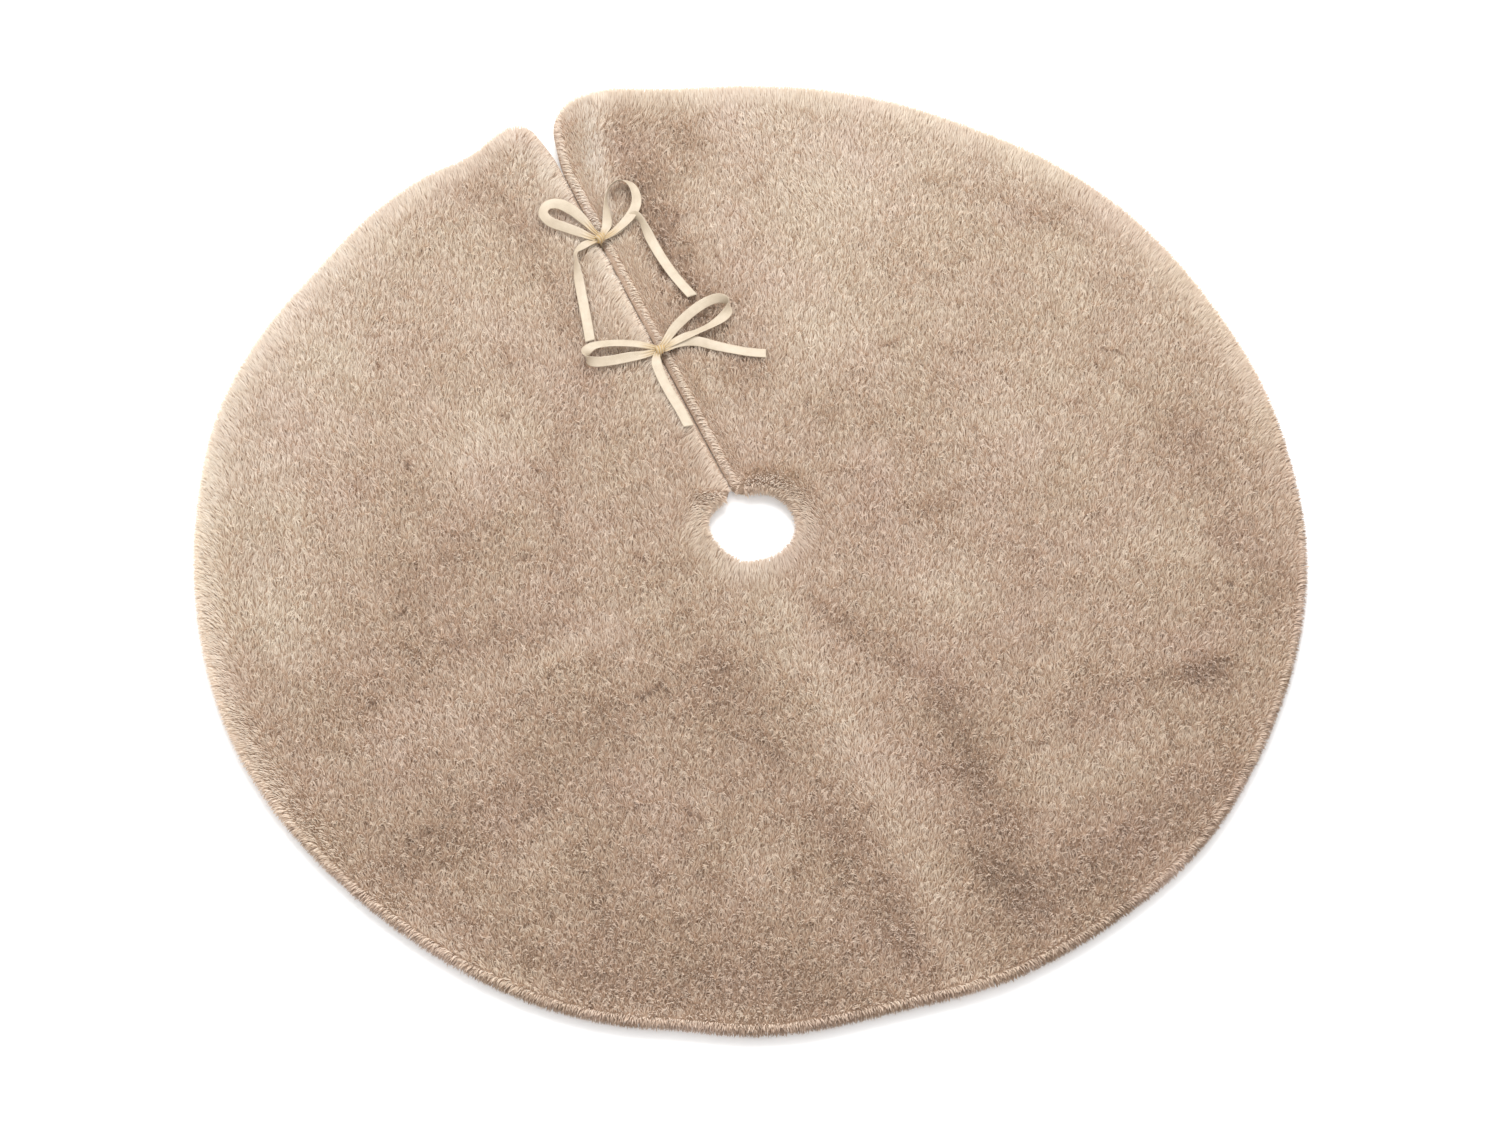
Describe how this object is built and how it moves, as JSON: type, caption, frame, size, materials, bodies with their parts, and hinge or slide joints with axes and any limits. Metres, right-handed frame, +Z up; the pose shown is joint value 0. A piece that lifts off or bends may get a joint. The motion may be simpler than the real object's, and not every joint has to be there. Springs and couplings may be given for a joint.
{
  "type": "tree skirt",
  "caption": "Round plush tree skirt with a central trunk hole and a radial slit closed by ribbon bows; folds in half on the line of the slit.",
  "frame": {"origin": "centre of the trunk hole on the floor that the skirt lies on", "axes": "+Z up out of the fur, +Y from the trunk hole along the slit towards its mouth at the rim, +X to the right half"},
  "size_m": [1.07, 1.0687, 0.028],
  "materials": {
    "fur": "matte",
    "ground_cloth": "matte",
    "lining": "matte",
    "ribbon": "satin",
    "thread": "matte",
    "label": "satin"
  },
  "bodies": {
    "left_half": {"left_lining": "lining", "left_fur_ground": "ground_cloth", "left_fur_pile": "fur", "left_edge_seam": "thread", "left_bar_tacks": "thread", "left_ribbon_roots": "ribbon", "outer_knot": "ribbon", "inner_knot": "ribbon", "turning_gap_stitches": "thread", "care_label": "label"},
    "right_half": {"right_lining": "lining", "right_fur_ground": "ground_cloth", "right_fur_pile": "fur", "right_edge_seam": "thread", "right_bar_tacks": "thread", "right_ribbon_roots": "ribbon"},
    "outer_left_loop": {"outer_left_loop": "ribbon"},
    "outer_right_loop": {"outer_right_loop": "ribbon"},
    "inner_left_loop": {"inner_left_loop": "ribbon"},
    "inner_right_loop": {"inner_right_loop": "ribbon"},
    "outer_left_tail": {"outer_left_tail": "ribbon"},
    "outer_right_tail": {"outer_right_tail": "ribbon"},
    "inner_left_tail": {"inner_left_tail": "ribbon"},
    "inner_right_tail": {"inner_right_tail": "ribbon"}
  },
  "joints": [
    {"name": "half_fold", "type": "hinge", "parent": "left_half", "child": "right_half", "pos_m": [0, 0, 0.0268], "axis": [0, 1, 0], "range_deg": [-178, 0]},
    {"name": "outer_left_loop_lift", "type": "hinge", "parent": "left_half", "child": "outer_left_loop", "pos_m": [-0.00369, 0.36973, 0.0226], "axis": [0.788, 0.6157, 0], "range_deg": [0, 40]},
    {"name": "outer_right_loop_lift", "type": "hinge", "parent": "right_half", "child": "outer_right_loop", "pos_m": [0.00386, 0.3696, 0.0226], "axis": [0.766, -0.6428, 0], "range_deg": [0, 40]},
    {"name": "inner_left_loop_lift", "type": "hinge", "parent": "left_half", "child": "inner_left_loop", "pos_m": [-0.00582, 0.21745, 0.0226], "axis": [0.2419, 0.9703, 0], "range_deg": [0, 40]},
    {"name": "inner_right_loop_lift", "type": "hinge", "parent": "right_half", "child": "inner_right_loop", "pos_m": [0.00577, 0.21765, 0.0226], "axis": [0.2756, -0.9613, 0], "range_deg": [0, 40]},
    {"name": "outer_left_tail_lift", "type": "hinge", "parent": "left_half", "child": "outer_left_tail", "pos_m": [-0.00528, 0.36536, 0.0226], "axis": [-0.9027, 0.4303, 0], "range_deg": [0, 70]},
    {"name": "outer_right_tail_lift", "type": "hinge", "parent": "right_half", "child": "outer_right_tail", "pos_m": [0.00527, 0.36535, 0.0226], "axis": [-0.8997, -0.4365, 0], "range_deg": [0, 70]},
    {"name": "inner_left_tail_lift", "type": "hinge", "parent": "left_half", "child": "inner_left_tail", "pos_m": [-0.00194, 0.21087, 0.0226], "axis": [-0.9966, 0.0821, 0], "range_deg": [0, 70]},
    {"name": "inner_right_tail_lift", "type": "hinge", "parent": "right_half", "child": "inner_right_tail", "pos_m": [0.00408, 0.21235, 0.0226], "axis": [-0.4223, -0.9064, 0], "range_deg": [0, 70]}
  ]
}
